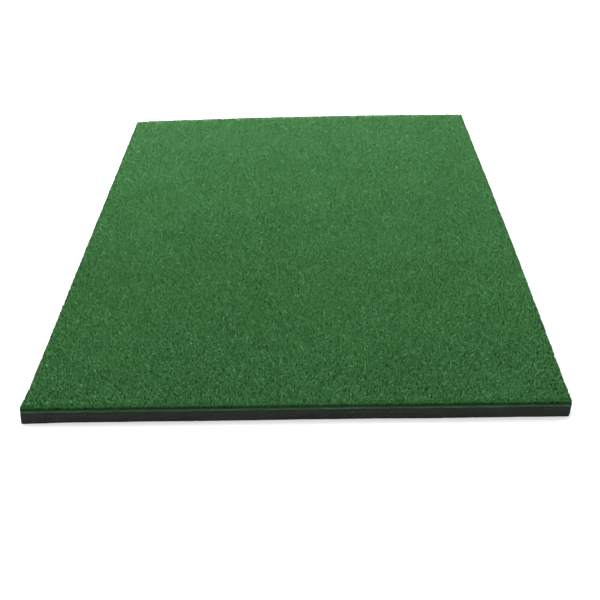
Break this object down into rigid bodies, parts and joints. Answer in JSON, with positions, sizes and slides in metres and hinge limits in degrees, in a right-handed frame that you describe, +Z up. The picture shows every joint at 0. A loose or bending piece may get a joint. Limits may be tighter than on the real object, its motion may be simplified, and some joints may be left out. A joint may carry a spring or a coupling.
{
  "type": "golf hitting mat",
  "caption": "Flat rectangular golf practice mat: dense curled green turf laminated to a thin green foam layer on a thick black foam base.",
  "frame": {"origin": "centre of the underside of the foam base, on the ground", "axes": "+Z up through the thickness, +Y along the long side away from the viewer, +X along the short side"},
  "size_m": [0.914, 1.219, 0.037],
  "materials": {
    "black_foam": "matt, cut closed-cell foam",
    "adhesive": "satin hot-melt film",
    "green_foam": "matt, cut closed-cell foam",
    "latex": "matt latex",
    "backing_cloth": "woven polypropylene",
    "turf_yarn": "curled nylon yarn, slight sheen"
  },
  "bodies": {
    "root": {"foam_base": "black_foam", "lower_adhesive_film": "adhesive", "green_foam_interlayer": "green_foam", "upper_adhesive_film": "adhesive", "latex_precoat": "latex", "primary_backing_cloth": "backing_cloth", "turf_pile": "turf_yarn"}
  },
  "joints": []
}
